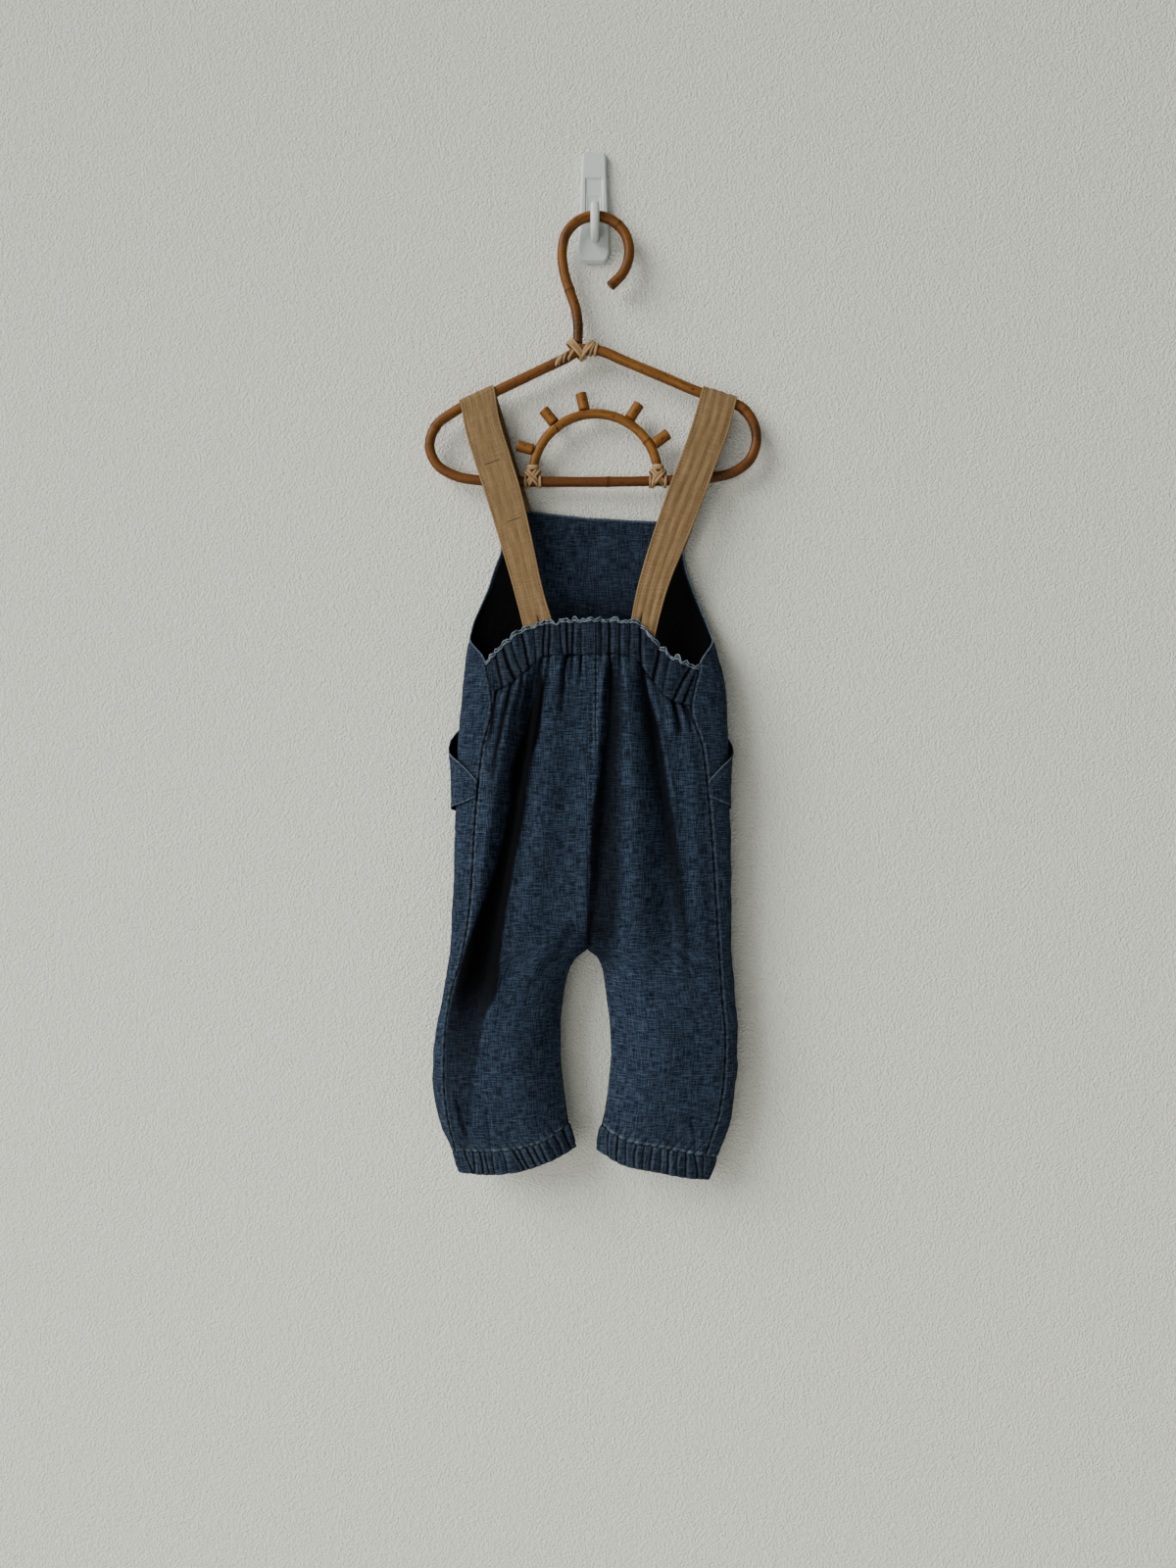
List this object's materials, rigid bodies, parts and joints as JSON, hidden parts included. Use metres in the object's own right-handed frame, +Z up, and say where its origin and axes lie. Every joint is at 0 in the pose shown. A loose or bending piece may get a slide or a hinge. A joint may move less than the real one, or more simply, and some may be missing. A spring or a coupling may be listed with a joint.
{
  "type": "child's bib romper on a cane hanger and wall hook",
  "caption": "Child's denim bib romper seen from the back, with tan straps over a bent cane hanger that hangs on a plastic wall hook.",
  "frame": {"origin": "centre of the wall hook's back face, on the wall", "axes": "+Y into the wall, +X to the right as one faces the wall, +Z up"},
  "size_m": [0.2968, 0.0572, 0.9089],
  "materials": {
    "denim": "matte",
    "strap_cloth": "matte",
    "cane": "satin",
    "split_cane": "satin",
    "white_plastic": "satin"
  },
  "bodies": {
    "root": {"front": "denim", "back_left": "denim", "back_right": "denim", "back_waistband": "denim", "pocket_left": "denim", "pocket_right": "denim", "cuff_left": "denim", "cuff_right": "denim", "strap_left": "strap_cloth", "strap_right": "strap_cloth", "hanger_frame": "cane", "hanger_hook": "cane", "sun_arc": "cane", "sun_ray_1": "cane", "sun_ray_2": "cane", "sun_ray_3": "cane", "sun_ray_4": "cane", "sun_ray_5": "cane", "lashing_left": "split_cane", "lashing_right": "split_cane", "lashing_top": "split_cane", "wall_hook_plate": "white_plastic", "wall_hook_arm": "white_plastic"}
  },
  "joints": []
}
